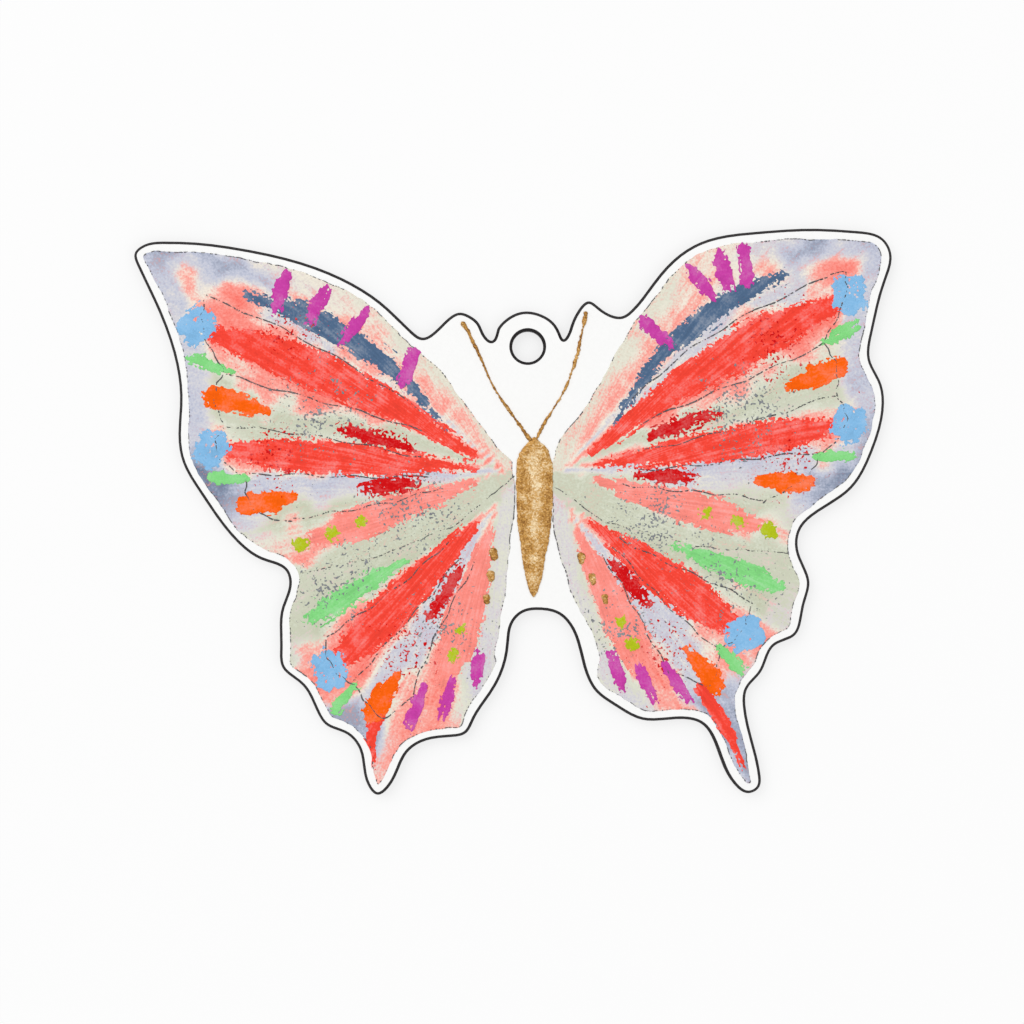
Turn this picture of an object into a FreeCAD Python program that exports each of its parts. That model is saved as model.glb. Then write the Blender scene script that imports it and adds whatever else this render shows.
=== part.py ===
import FreeCAD, Part
import Sketcher
import math
import os

# Butterfly hang tag: one piece of white board, cut to a butterfly's outline, with a punched hole for a
# thread. The cut edge is bevelled all round on the decorated face, and the bevel shows as a dark line.
# X runs across the wings, Y from the tails to the hole, and Z out of the decorated face. The die line is
# measured from the hub, the spot between the wing roots, and the finished tag is then centred on its box.

# Name, value in millimetres and meaning of each driving size
SIZES = (
    ("wing_span", 100.0, "greatest width, tip to tip"),
    ("tag_height", 74.8, "greatest height, forewing to tail"),
    ("board_thickness", 2.0, "thickness of the board"),
    ("edge_bevel", 0.4, "width of the bevel on the cut edges"),
    ("hole_diameter", 4.1, "punched hole for the thread"),
    ("hole_left_of_hub", 0.3, "centre of the hole, to the left of the hub"),
    ("hole_above_hub", 16.3, "centre of the hole, above the hub"),
    ("tab_wall", 2.6, "board left round the hole, where the tab is round"),
)

# The die line runs anticlockwise from the notch left of the tab, in five groups of stretches. Each stretch
# is named for what it bounds, and its points in millimetres lie where the edge turns.

# Left of the tab, measured from the left end of the tab's round
LEFT_OF_TAB = {
    "left notch": ((0.4, 1.5), (-0.2, 0.8), (-1.0, 1.5)),
    "left horn": ((-1.8, 3.1), (-3.0, 4.1), (-4.4, 4.5), (-5.8, 3.8), (-7.8, 1.9)),
    "left crotch": ((-9.2, 1.2), (-10.7, 2.1)),
}

# The left wings, measured from the hub
LEFT_WINGS = {
    "left forewing, front": (
        (-19.7, 22.2), (-23.7, 24.8), (-30.0, 27.4), (-38.2, 29.3), (-44.5, 30.1), (-48.2, 30.2),
    ),
    "left forewing, tip": ((-50.9, 29.8), (-52.2, 28.6), (-51.8, 26.9)),
    "left forewing, margin": (
        (-49.0, 20.9), (-46.9, 14.8), (-46.2, 9.2), (-46.4, 4.0), (-45.9, 1.2), (-43.7, -2.8),
        (-38.4, -9.8), (-35.1, -12.0),
    ),
    "left waist": ((-32.2, -13.4), (-31.8, -14.7), (-32.8, -18.3)),
    "left hindwing, margin": (
        (-33.0, -23.1), (-32.7, -26.1), (-30.2, -28.3), (-28.2, -31.8), (-26.9, -33.7), (-24.2, -34.9),
    ),
    "left tail": ((-22.5, -37.0), (-21.5, -41.5), (-20.2, -42.9), (-18.4, -41.6), (-16.0, -37.1)),
    "left hem": ((-14.4, -36.0), (-10.6, -35.3), (-8.5, -34.8), (-7.3, -32.8), (-5.6, -30.2)),
}

# Between the hindwings, measured from the hub
FORK = {
    "fork": (
        (-3.8, -27.1), (-2.8, -23.1), (-2.3, -20.3), (-1.0, -18.9), (1.3, -18.5), (3.8, -19.1),
        (5.4, -20.8), (7.1, -26.1),
    ),
}

# The right wings, measured from the hub
RIGHT_WINGS = {
    "right hem": ((8.7, -29.3), (11.1, -31.1), (14.8, -33.0), (19.8, -32.9), (22.4, -33.4)),
    "right tail": (
        (25.1, -38.0), (27.0, -41.6), (28.8, -42.7), (30.2, -42.0), (30.4, -40.0), (28.5, -31.6),
    ),
    "right hindwing, margin": (
        (28.7, -28.9), (30.5, -26.7), (32.3, -23.2), (34.8, -22.0), (36.2, -17.9), (36.9, -14.9),
    ),
    "right waist": ((35.4, -10.5), (35.7, -7.9), (38.0, -5.6)),
    "right forewing, margin": (
        (42.4, -2.5), (45.2, 2.4), (46.7, 8.0), (46.3, 11.6), (44.9, 14.6), (45.2, 18.1), (46.9, 24.8),
    ),
    "right forewing, tip": ((47.7, 28.6), (46.6, 30.6)),
    "right forewing, front": (
        (43.1, 31.6), (37.0, 31.9), (30.0, 31.5), (22.3, 30.0), (19.3, 28.1), (16.3, 24.8),
    ),
}

# Right of the tab, measured from the right end of the tab's round
RIGHT_OF_TAB = {
    "right crotch": ((9.1, 4.9), (7.7, 4.0), (6.4, 4.2)),
    "right horn": ((4.9, 5.1), (3.4, 6.0), (2.0, 4.8), (1.0, 2.7)),
    "right notch": ((0.6, 1.6), (0.1, 1.0)),
}

# Points on the tab's round, as bearings in degrees from the hole, right to left over the top
TAB_BEARINGS = (22, 54, 86, 118, 150)

NODE = "butterfly_tag"
OUTPUT_FOLDER = "parts"
SAME_HEIGHT = 1e-6


def make_sheet(document):
    """Write the driving sizes to a spreadsheet, one aliased cell each."""
    sheet = document.addObject("Spreadsheet::Sheet", "Sizes")
    for row, (alias, value, meaning) in enumerate(SIZES, start=1):
        sheet.set(f"A{row}", meaning)
        sheet.set(f"B{row}", str(value))
        sheet.setAlias(f"B{row}", alias)
    document.recompute()
    return sheet


def tab_radius(sheet):
    """Give the radius of the tab's round, which is concentric with the hole."""
    return sheet.hole_diameter / 2 + sheet.tab_wall


def tab_round(sheet):
    """Give the points on the tab's round."""
    turns = [math.radians(bearing) for bearing in TAB_BEARINGS]
    return [
        FreeCAD.Vector(
            tab_radius(sheet) * math.cos(turn) - sheet.hole_left_of_hub,
            tab_radius(sheet) * math.sin(turn) + sheet.hole_above_hub,
            0,
        )
        for turn in turns
    ]


def beside_tab(sheet, stretches, side):
    """Place the stretches beside the tab, where side is -1 for the left and 1 for the right."""
    end_x = side * tab_radius(sheet) - sheet.hole_left_of_hub
    return [
        [FreeCAD.Vector(end_x + x, sheet.hole_above_hub + y, 0) for x, y in stretch]
        for stretch in stretches.values()
    ]


def bounds(stretches):
    """Give the least and greatest X, then the least and greatest Y, of some stretches' points."""
    points = [point for stretch in stretches.values() for point in stretch]
    across = [x for x, y in points]
    along = [y for x, y in points]
    return min(across), max(across), min(along), max(along)


def round_wings(sheet, left_root, right_root):
    """Place the wings: they widen outwards from their roots and lengthen downwards from the hub."""
    left_tip, _, left_low, left_high = bounds(LEFT_WINGS)
    _, right_tip, right_low, right_high = bounds(RIGHT_WINGS)
    between_roots = right_root - left_root
    wider = (sheet.wing_span - between_roots) / (right_tip - left_tip - between_roots)
    above_hub = max(left_high, right_high)
    longer = (sheet.tag_height - above_hub) / -min(left_low, right_low)

    def placed(x, y):
        root = min(max(x, left_root), right_root)
        return FreeCAD.Vector(root + (x - root) * wider, y * longer if y < 0 else y, 0)

    stretches = {**LEFT_WINGS, **FORK, **RIGHT_WINGS}
    return [[placed(x, y) for x, y in stretch] for stretch in stretches.values()]


def die_line(sheet):
    """Give the cut line as one smooth curve per stretch."""
    left = beside_tab(sheet, LEFT_OF_TAB, -1)
    right = beside_tab(sheet, RIGHT_OF_TAB, 1)
    wings = round_wings(sheet, left[-1][-1].x, right[0][0].x)
    stretches = [*left, *wings, *right, tab_round(sheet)]

    whole = Part.BSplineCurve()
    whole.interpolate(Points=[point for stretch in stretches for point in stretch], PeriodicFlag=True)
    knots = whole.getKnots()
    pieces = []
    start = 0
    for stretch in stretches:
        end = start + len(stretch)
        piece = whole.copy()
        piece.segment(knots[start], knots[end])
        pieces.append(piece)
        start = end
    return pieces


def new_sketch(body, name):
    """Start a sketch in the plane of the tag's back."""
    plane = next(feature for feature in body.Origin.OriginFeatures if feature.Role == "XY_Plane")
    sketch = body.newObject("Sketcher::SketchObject", name)
    sketch.AttachmentSupport = [(plane, "")]
    sketch.MapMode = "FlatFace"
    return sketch


def cut_blank(body, sheet):
    """Cut the board to the die line."""
    sketch = new_sketch(body, "DieLine")
    for piece in die_line(sheet):
        sketch.addGeometry(piece, False)
    blank = body.newObject("PartDesign::Pad", "Blank")
    blank.Profile = sketch
    blank.setExpression("Length", f"{sheet.Name}.board_thickness")
    body.Document.recompute()
    return blank


def punch_hole(body, sheet):
    """Punch the hole for the thread through the tab."""
    sketch = new_sketch(body, "HolePlan")
    sketch.setExpression("AttachmentOffset.Base.x", f"-{sheet.Name}.hole_left_of_hub")
    sketch.setExpression("AttachmentOffset.Base.y", f"{sheet.Name}.hole_above_hub")
    rim = Part.Circle(FreeCAD.Vector(0, 0, 0), FreeCAD.Vector(0, 0, 1), sheet.hole_diameter / 2)
    circle = sketch.addGeometry(rim, False)
    # Point 3 of a circle is its centre, and point 1 of geometry -1 is the sketch's own origin
    sketch.addConstraint(Sketcher.Constraint("Coincident", circle, 3, -1, 1))
    width = sketch.addConstraint(Sketcher.Constraint("Diameter", circle, sheet.hole_diameter))
    sketch.setExpression(f"Constraints[{width}]", f"{sheet.Name}.hole_diameter")
    hole = body.newObject("PartDesign::Pocket", "HangHole")
    hole.Profile = sketch
    hole.Reversed = True
    hole.setExpression("Length", f"{sheet.Name}.board_thickness")
    body.Document.recompute()
    return hole


def bevel_face_edges(body, solid, sheet):
    """Bevel the cut edge and the hole's rim on the decorated face."""
    face_height = sheet.board_thickness
    rims = [
        f"Edge{number}"
        for number, edge in enumerate(solid.Shape.Edges, start=1)
        if all(abs(vertex.Z - face_height) < SAME_HEIGHT for vertex in edge.Vertexes)
    ]
    bevel = body.newObject("PartDesign::Chamfer", "EdgeBevel")
    bevel.Base = (solid, rims)
    bevel.setExpression("Size", f"{sheet.Name}.edge_bevel")
    body.Document.recompute()
    return bevel


def centre_on_box(body):
    """Set the tag down with its back on the ground and the middle of its box over the origin."""
    box = body.Shape.optimalBoundingBox()
    body.Placement.Base = FreeCAD.Vector(-box.Center.x, -box.Center.y, -box.ZMin)
    body.Document.recompute()


def check(document, body, blank, hole, bevel):
    """Stop if anything in the document failed, or if a cut took nothing away."""
    for item in document.Objects:
        if "Invalid" in item.State or "Error" in item.State:
            raise RuntimeError(f"{item.Label} failed: {item.State}")
    if body.Shape.isNull() or not body.Shape.isValid() or len(body.Shape.Solids) != 1:
        raise RuntimeError(f"{body.Label} is not one valid solid")
    if not blank.Shape.Volume > hole.Shape.Volume > bevel.Shape.Volume > 0:
        raise RuntimeError("the hole or the bevel removed no board")


def main():
    """Build the tag and write its solid."""
    document = FreeCAD.newDocument("ButterflyHangTag")
    sheet = make_sheet(document)
    body = document.addObject("PartDesign::Body", "ButterflyTag")
    body.Label = NODE
    blank = cut_blank(body, sheet)
    hole = punch_hole(body, sheet)
    bevel = bevel_face_edges(body, hole, sheet)
    centre_on_box(body)
    check(document, body, blank, hole, bevel)

    box = body.Shape.optimalBoundingBox()
    rim_centre = body.Placement.multVec(
        FreeCAD.Vector(-sheet.hole_left_of_hub, sheet.hole_above_hub, 0)
    )
    print(f"{NODE}: {box.XLength:.2f} x {box.YLength:.2f} x {box.ZLength:.2f} mm")
    print(f"board {body.Shape.Volume:.0f} cubic mm, hole at {rim_centre.x:.3f}, {rim_centre.y:.3f}")
    os.makedirs(OUTPUT_FOLDER, exist_ok=True)
    body.Shape.exportStep(f"{OUTPUT_FOLDER}/{NODE}.step")


main()
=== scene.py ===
import logging
import math
from dataclasses import dataclass, field
from enum import Enum
from functools import partial
from typing import Callable, Sequence

import bpy
import numpy as np
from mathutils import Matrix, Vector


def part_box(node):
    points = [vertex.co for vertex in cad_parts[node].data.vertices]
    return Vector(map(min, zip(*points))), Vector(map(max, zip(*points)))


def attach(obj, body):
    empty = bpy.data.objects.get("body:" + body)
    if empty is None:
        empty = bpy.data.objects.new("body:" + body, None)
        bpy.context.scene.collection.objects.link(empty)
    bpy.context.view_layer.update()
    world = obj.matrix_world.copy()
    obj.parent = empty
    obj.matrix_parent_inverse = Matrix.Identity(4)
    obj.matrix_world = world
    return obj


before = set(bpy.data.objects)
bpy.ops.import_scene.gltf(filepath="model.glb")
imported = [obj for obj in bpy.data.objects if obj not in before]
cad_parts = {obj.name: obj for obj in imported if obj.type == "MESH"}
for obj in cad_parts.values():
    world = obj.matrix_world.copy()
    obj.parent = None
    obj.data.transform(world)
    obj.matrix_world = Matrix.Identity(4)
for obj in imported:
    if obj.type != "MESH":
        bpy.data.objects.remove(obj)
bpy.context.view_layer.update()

# The tag lies face up. Lengths are in millimetres in the frame's own axes, and MM turns them to metres.
MM = 0.001
NODE = "butterfly_tag"
BODY = "root"
BOARD_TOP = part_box(NODE)[1].z / MM

# The kinds of node that the materials use most.
ATTRIBUTE = "ShaderNodeAttribute"
BUMP = "ShaderNodeBump"
MAP_RANGE = "ShaderNodeMapRange"
MATH = "ShaderNodeMath"
MIX = "ShaderNodeMix"
NOISE = "ShaderNodeTexNoise"
PLACE = "ShaderNodeTexCoord"
RAMP = "ShaderNodeValToRGB"

LAYER_STEP = 0.004  # how much higher each paint of a layer lies than the one before it
UNMERGED = 999  # a block too large for any film, so that all of its cells stay fine

Point = tuple[float, float]
Field = Callable[[np.ndarray, np.ndarray], np.ndarray]
log = logging.getLogger("butterfly")


class Ink(Enum):
    """The colours, as sRGB hex values."""

    BOARD = "#FCFCFB"
    CREAM = "#F6ECDD"
    BLUSH = "#FFCDC1"
    SALMON = "#FF8F83"
    CORAL = "#FB4737"
    SAGE_PALE = "#DDE0CE"
    SAGE = "#B7BD9F"
    LAVENDER = "#C6CADB"
    SLATE = "#526C8C"
    SKY = "#86BDE8"
    MINT = "#86DB84"
    ORANGE = "#FF6406"
    OLIVE = "#B7C51C"
    CRIMSON = "#D60A10"
    MAGENTA = "#CC42A8"
    GRAPHITE = "#3B3A3C"
    EDGE_INK = "#231F20"
    PEPPER = "#85888D"
    GOLD_DARK = "#8A5A20"
    GOLD = "#C8964C"
    GOLD_PALE = "#F3DDB4"


# Each pigment's colours from thin to full. Where they meet, a later pigment covers the ones before it.
PIGMENTS = {
    "sage": (Ink.CREAM, Ink.SAGE_PALE, Ink.SAGE),
    "slate": (Ink.CREAM, Ink.LAVENDER, Ink.SLATE),
    "rose": (Ink.BLUSH, Ink.SALMON, Ink.CORAL),
}


class Slot(Enum):
    """The record's material slots."""

    BOARD = "board"
    WATERCOLOUR = "watercolour"
    PASTEL = "pastel"
    PENCIL = "pencil"
    GLITTER = "glitter"


def linear(ink: Ink) -> tuple[float, float, float, float]:
    """Turn a colour's sRGB hex value to a linear colour.

    Args:
        ink: the colour.

    Returns:
        Red, green, blue and alpha, each from 0 to 1.
    """
    channels = [int(ink.value[start:start + 2], 16) / 255 for start in (1, 3, 5)]
    red, green, blue = (c / 12.92 if c <= 0.04045 else ((c + 0.055) / 1.055) ** 2.4 for c in channels)
    return red, green, blue, 1.0


def per_mm(size: float) -> float:
    """Give the texture scale that makes one grain of a size in millimetres."""
    return 1 / (size * MM)


def feed(node: bpy.types.Node, inputs: dict) -> None:
    """Set a node's inputs.

    Args:
        node: the node.
        inputs: input name or number, to a value or to the socket that feeds it.
    """
    for name, value in inputs.items():
        if isinstance(value, bpy.types.NodeSocket):
            node.id_data.links.new(value, node.inputs[name])
        else:
            node.inputs[name].default_value = value


def add_node(
    tree: bpy.types.NodeTree, kind: str, inputs: dict | None = None, **settings: object
) -> bpy.types.Node:
    """Add a node to a material with its settings and links.

    Args:
        tree: the material's node tree.
        kind: the node's type name.
        inputs: input name or number, to a value or to the socket that feeds it.
        **settings: the node's own properties.

    Returns:
        The new node.
    """
    node = tree.nodes.new(kind)
    for name, value in settings.items():
        setattr(node, name, value)
    feed(node, inputs or {})
    return node


def start_material(name: str) -> tuple[bpy.types.Material, bpy.types.NodeTree, bpy.types.Node]:
    """Start a material with its one surface shader.

    Args:
        name: the material's name.

    Returns:
        The material, its node tree and its shader.
    """
    material = bpy.data.materials.new(name)
    material.use_nodes = True
    tree = material.node_tree
    return material, tree, tree.nodes["Principled BSDF"]


def shade(colour: tuple[float, ...], share: float) -> tuple[float, float, float, float]:
    """Make a linear colour darker or brighter by a share."""
    return share * colour[0], share * colour[1], share * colour[2], 1.0


def set_stops(ramp: bpy.types.Node, stops: Sequence[tuple[float, tuple]]) -> bpy.types.NodeSocket:
    """Put colours on a colour ramp.

    Args:
        ramp: the colour ramp node.
        stops: place and linear colour, from low to high.

    Returns:
        The ramp's colour socket.
    """
    elements = ramp.color_ramp.elements
    while len(elements) < len(stops):
        elements.new(0.5)
    for element, (place, colour) in zip(elements, stops):
        element.position = place
        element.color = colour
    return ramp.outputs["Color"]


class Grain:
    """Smooth random values over the plane, the same on every run."""

    cells = 256  # grains along each side of the pattern before it repeats
    fade = 0.6  # strength of each finer grain as a share of the one before it

    def __init__(self, seed: int, size: float, octaves: int = 1, across: float = 1.0) -> None:
        """Set the grain's size.

        Args:
            seed: number that picks the pattern.
            size: size of the largest grains along X, in millimetres.
            octaves: how many finer grains are added.
            across: size along Y as a share of the size along X.
        """
        self.table = np.random.default_rng(seed).random((self.cells, self.cells))
        self.size = size
        self.octaves = octaves
        self.across = across

    def at(self, x: np.ndarray, y: np.ndarray) -> np.ndarray:
        """Give the grain at each point.

        Args:
            x: X of the points, in millimetres.
            y: Y of the points.

        Returns:
            Values from about -1 to 1.
        """
        total = np.zeros(np.shape(x))
        for octave in range(self.octaves):
            size = self.size / 2 ** octave
            u = np.asarray(x) / size + 57.3 * octave
            v = np.asarray(y) / (size * self.across) + 31.7 * octave
            column = np.floor(u).astype(int)
            row = np.floor(v).astype(int)
            s = (u - column) ** 2 * (3 - 2 * (u - column))
            t = (v - row) ** 2 * (3 - 2 * (v - row))
            corner = [
                self.table[(row + b) % self.cells, (column + a) % self.cells] for b in (0, 1) for a in (0, 1)
            ]
            low = corner[0] * (1 - s) + corner[1] * s
            high = corner[2] * (1 - s) + corner[3] * s
            total += self.fade ** octave * (low * (1 - t) + high * t - 0.5)
        return 2 * total / math.sqrt(sum((self.fade ** 2) ** octave for octave in range(self.octaves)))


# Crumbs and grit fray an edge, tooth breaks a dot, and specks are drops and gaps in a pencil line. Bristles
# are the hairs of a brush, water is where wet paint runs, tremble is the hand's, and flakes are glitter.
CRUMBS = Grain(seed=11, size=1.2, octaves=4)
TOOTH = Grain(seed=12, size=0.4, octaves=2)
GRIT = Grain(seed=17, size=0.26, octaves=2)
SPECKS = Grain(seed=18, size=0.19, octaves=1)
BRISTLES = Grain(seed=13, size=6.0, octaves=3, across=0.06)
WATER = Grain(seed=14, size=7.0, octaves=3)
TREMBLE = Grain(seed=15, size=2.6, octaves=3)
FLAKES = Grain(seed=16, size=0.3, octaves=2)
# Where the wings of each side grow out of the body.
LEFT_ROOT = (-1.3, 3.5)
RIGHT_ROOT = (6.7, 3.3)
WING_MIDDLE = 26.0  # how far out from there the middle of a wing lies, in millimetres


def from_root(x: np.ndarray, y: np.ndarray) -> tuple[np.ndarray, np.ndarray]:
    """Measure points from where the wings of their own side grow out of the body.

    Args:
        x: X of the points, in millimetres.
        y: Y of the points.

    Returns:
        How far out each point lies, and its direction in radians above the level line.
    """
    left = x < (LEFT_ROOT[0] + RIGHT_ROOT[0]) / 2
    across = np.abs(x - np.where(left, LEFT_ROOT[0], RIGHT_ROOT[0]))
    up = y - np.where(left, LEFT_ROOT[1], RIGHT_ROOT[1])
    return np.hypot(across, up), np.arctan2(up, across)


def brush_out(x: np.ndarray, y: np.ndarray) -> np.ndarray:
    """Give how far the brush has travelled out to each point, in millimetres."""
    return from_root(x, y)[0]


def brush_aside(x: np.ndarray, y: np.ndarray) -> np.ndarray:
    """Give which hair of the brush passes each point, in millimetres across the wing's middle."""
    return WING_MIDDLE * from_root(x, y)[1]


BRUSH_WAY = {"out": brush_out, "aside": brush_aside}


@dataclass(frozen=True)
class Touch:
    """One touch of a round tip drawn along a path, with the ragged edge it leaves on rough paper.

    Attributes:
        path: the places that the tip passes, in millimetres.
        halves: half the touch's width at each of them.
        fray: how deep its edge is frayed.
        dry: how dry the tip is, from 0 to 1, which leaves gaps towards its end.
        seed: number that picks the raggedness.
        hairy: how strongly the brush's hairs show in edge and gaps.
        dust: how far loose specks lie beyond its edge.
    """

    path: tuple[Point, ...]
    halves: tuple[float, ...]
    fray: float = 0.3
    dry: float = 0.0
    seed: float = 0.0
    hairy: float = 0.7
    dust: float = 0.0

    def tips(self) -> np.ndarray:
        """Smooth the path.

        Returns:
            The tip's places along it, as rows of X, Y and half width.
        """
        rows = np.array([(*point, half) for point, half in zip(self.path, self.halves)], float)
        if len(rows) == 1:
            return rows
        ends = np.vstack([2 * rows[0] - rows[1], rows, 2 * rows[-1] - rows[-2]])
        places = []
        for a, b, c, d in zip(ends, ends[1:], ends[2:], ends[3:]):
            gap = max(0.07, 0.3 * min(b[2], c[2]))
            steps = max(2, round(math.dist(b[:2], c[:2]) / gap))
            for t in np.arange(steps) / steps:
                turn = (2 * a - 5 * b + 4 * c - d) * t ** 2 + (3 * b - a - 3 * c + d) * t ** 3
                places.append((2 * b + (c - a) * t + turn) / 2)
        return np.vstack([*places, rows[-1]])

    def box(self) -> tuple[np.ndarray, np.ndarray]:
        """Give the lowest and highest corner that the touch can reach."""
        reach = max(self.halves) + (1.3 + self.hairy) * self.fray + self.dust + 0.2
        return np.min(self.path, axis=0) - reach, np.max(self.path, axis=0) + reach

    def local(self, x: np.ndarray, y: np.ndarray) -> tuple[np.ndarray, np.ndarray, np.ndarray]:
        """Measure each point against the stroke.

        Args:
            x: X of the points, in millimetres.
            y: Y of the points.

        Returns:
            The depth inside the bare stroke, the share of the stroke's length, and the brush hairs' load.
        """
        tips = self.tips()
        best = np.full(x.shape, -1e3)
        nearest = np.zeros(x.shape, int)
        for index, (px, py, half) in enumerate(tips):
            inside = half - np.hypot(x - px, y - py)
            closer = inside > best
            best[closer] = inside[closer]
            nearest[closer] = index
        if len(tips) == 1:
            return best, np.zeros(x.shape), TOOTH.at(x, y)
        steps = np.diff(tips[:, :2], axis=0, append=2 * tips[-1:, :2] - tips[-2:-1, :2])
        lengths = np.hypot(*steps.T)
        travelled = np.concatenate([[0.0], np.cumsum(lengths[:-1])])
        heading = (steps / np.maximum(lengths, 1e-9)[:, None])[nearest]
        along = travelled[nearest]
        across = (y - tips[nearest, 1]) * heading[..., 0] - (x - tips[nearest, 0]) * heading[..., 1]
        hairs = BRISTLES.at(along + 3.1 * self.seed, across + self.seed)
        return best, along / max(travelled[-1], 1e-9), hairs

    def depth(self, x: np.ndarray, y: np.ndarray) -> np.ndarray:
        """Give how far each point lies inside the paint, negative outside.

        Args:
            x: X of the points, in millimetres.
            y: Y of the points.

        Returns:
            The depth in millimetres.
        """
        # Crumbs, grit and hairs fray the edge. A dry brush leaves gaps, most near its edge and its end.
        best, share, hairs = self.local(x, y)
        crumbs = CRUMBS.at(x + 9.7 * self.seed, y - 5.3 * self.seed)
        grit = GRIT.at(x, y)
        edge = best + self.fray * (0.7 * crumbs + 0.6 * grit + self.hairy * hairs)
        dryness = self.dry * (0.45 + 1.1 * np.clip((share - 0.3) / 0.7, 0, 1) ** 1.5)
        near_edge = np.clip(1 - best / max(self.halves), 0, 1)
        bare = 0.6 * grit + 1.1 * self.hairy * hairs + 1.25 - 1.7 * dryness * (0.35 + near_edge)
        solid = np.minimum(edge, 0.45 * bare)
        if self.dust == 0:
            return solid
        away = -best / self.dust
        return np.maximum(solid, np.where(away < 1, 0.25 * (grit - 0.1 - 1.1 * away), -1.0))


@dataclass(frozen=True)
class Marks:
    """Touches of one paint.

    Attributes:
        touches: the touches.
    """

    touches: tuple[Touch, ...]

    def box(self) -> tuple[Point, Point]:
        """Give the lowest and highest corner that the marks can reach."""
        lows, highs = zip(*(touch.box() for touch in self.touches))
        return tuple(np.min(lows, axis=0)), tuple(np.max(highs, axis=0))

    def depth(self, x: np.ndarray, y: np.ndarray) -> np.ndarray:
        """Give how far each point of a level grid lies inside the paint.

        Args:
            x: X of the grid, in millimetres.
            y: Y of the grid.

        Returns:
            The depth, negative outside.
        """
        best = np.full(x.shape, -1e3)
        for touch in self.touches:
            low, high = touch.box()
            columns = np.flatnonzero((x[0] > low[0]) & (x[0] < high[0]))
            rows = np.flatnonzero((y[:, 0] > low[1]) & (y[:, 0] < high[1]))
            if len(columns) and len(rows):
                window = np.ix_(rows, columns)
                best[window] = np.maximum(best[window], touch.depth(x[window], y[window]))
        return best


def segments_depth(starts: np.ndarray, ends: np.ndarray, x: np.ndarray, y: np.ndarray) -> np.ndarray:
    """Give how far each point lies inside a closed outline, negative outside.

    Args:
        starts: first ends of the outline's straight runs, as rows of X and Y.
        ends: second ends of the runs.
        x: X of the points.
        y: Y of the points.

    Returns:
        The distance to the outline, with its sign.
    """
    px, py = np.ravel(x), np.ravel(y)
    nearest = np.full(px.shape, 1e9)
    inside = np.zeros(px.shape, bool)
    for (ax, ay), (bx, by) in zip(starts, ends):
        dx, dy = bx - ax, by - ay
        along = np.clip(((px - ax) * dx + (py - ay) * dy) / max(dx * dx + dy * dy, 1e-12), 0, 1)
        nearest = np.minimum(nearest, (px - ax - along * dx) ** 2 + (py - ay - along * dy) ** 2)
        if ay != by:
            inside ^= ((ay > py) != (by > py)) & (px < ax + dx * (py - ay) / dy)
    return (np.sqrt(nearest) * np.where(inside, 1, -1)).reshape(np.shape(x))


class Sheet:
    """A field kept on a square grid over the tag and read between its points, which is quicker."""

    def __init__(self, low: np.ndarray, high: np.ndarray, pitch: float, values: Field) -> None:
        """Measure the field once.

        Args:
            low: the sheet's lowest corner, in millimetres.
            high: its highest corner.
            pitch: the grid's step.
            values: the field.
        """
        self.low, self.high, self.pitch = low, high, pitch
        x, y = np.meshgrid(np.arange(low[0], high[0], pitch), np.arange(low[1], high[1], pitch))
        self.kept = values(x, y)

    def at(self, x: np.ndarray, y: np.ndarray) -> np.ndarray:
        """Give the field at each point.

        Args:
            x: X of the points, in millimetres.
            y: Y of the points.

        Returns:
            The field's values.
        """
        u = np.clip((np.asarray(x) - self.low[0]) / self.pitch, 0, self.kept.shape[1] - 1.001)
        v = np.clip((np.asarray(y) - self.low[1]) / self.pitch, 0, self.kept.shape[0] - 1.001)
        column, row = u.astype(int), v.astype(int)
        s, t = u - column, v - row
        low = self.kept[row, column] * (1 - s) + self.kept[row, column + 1] * s
        high = self.kept[row + 1, column] * (1 - s) + self.kept[row + 1, column + 1] * s
        return low * (1 - t) + high * t


class DieLine(Sheet):
    """The tag's cut edge, read from the CAD node: how far each place lies inside the cut."""

    spare = 2.0  # how far the sheet reaches past the tag, in millimetres

    def __init__(self, tag: bpy.types.Object) -> None:
        """Find the cut edge.

        Args:
            tag: the CAD node.
        """
        places = np.array([vertex.co for vertex in tag.data.vertices], float) / MM
        below = places[:, 2] < 1e-3
        runs = set()
        for face in tag.data.polygons:
            if abs(face.normal.z) < 0.5:
                loop = list(face.vertices)
                runs |= {(a, b) for a, b in zip(loop, loop[1:] + loop[:1]) if below[a] and below[b]}
        starts = places[[a for a, _ in runs], :2]
        ends = places[[b for _, b in runs], :2]
        low, high = places[:, :2].min(axis=0) - self.spare, places[:, :2].max(axis=0) + self.spare
        super().__init__(low, high, pitch=0.25, values=partial(segments_depth, starts, ends))

    def box(self) -> tuple[Point, Point]:
        """Give the tag's lowest and highest corner."""
        return tuple(self.low + self.spare), tuple(self.high - self.spare)

    def place(self, root: Point, angle: float, inset: float) -> Point:
        """Find the place that lies a given distance inside the edge, seen from a wing's root.

        Args:
            root: the wing's root.
            angle: direction from the root, in degrees.
            inset: distance from the edge, in millimetres.

        Returns:
            The place's X and Y.
        """
        reach = np.arange(6.0, 75.0, 0.1)
        x = root[0] + reach * math.cos(math.radians(angle))
        y = root[1] + reach * math.sin(math.radians(angle))
        outside = np.flatnonzero(self.at(x, y) < inset)
        step = outside[0] if len(outside) else len(reach) - 1
        return float(x[step]), float(y[step])

    def inward(self, x: float, y: float) -> Point:
        """Find the way that leads straight away from the cut edge.

        Args:
            x: X of the place, in millimetres.
            y: Y of the place.

        Returns:
            The way's X and Y, one millimetre long.
        """
        step = 0.4
        slope_x = float(self.at(x + step, y) - self.at(x - step, y))
        slope_y = float(self.at(x, y + step) - self.at(x, y - step))
        size = max(math.hypot(slope_x, slope_y), 1e-6)
        return slope_x / size, slope_y / size


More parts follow.
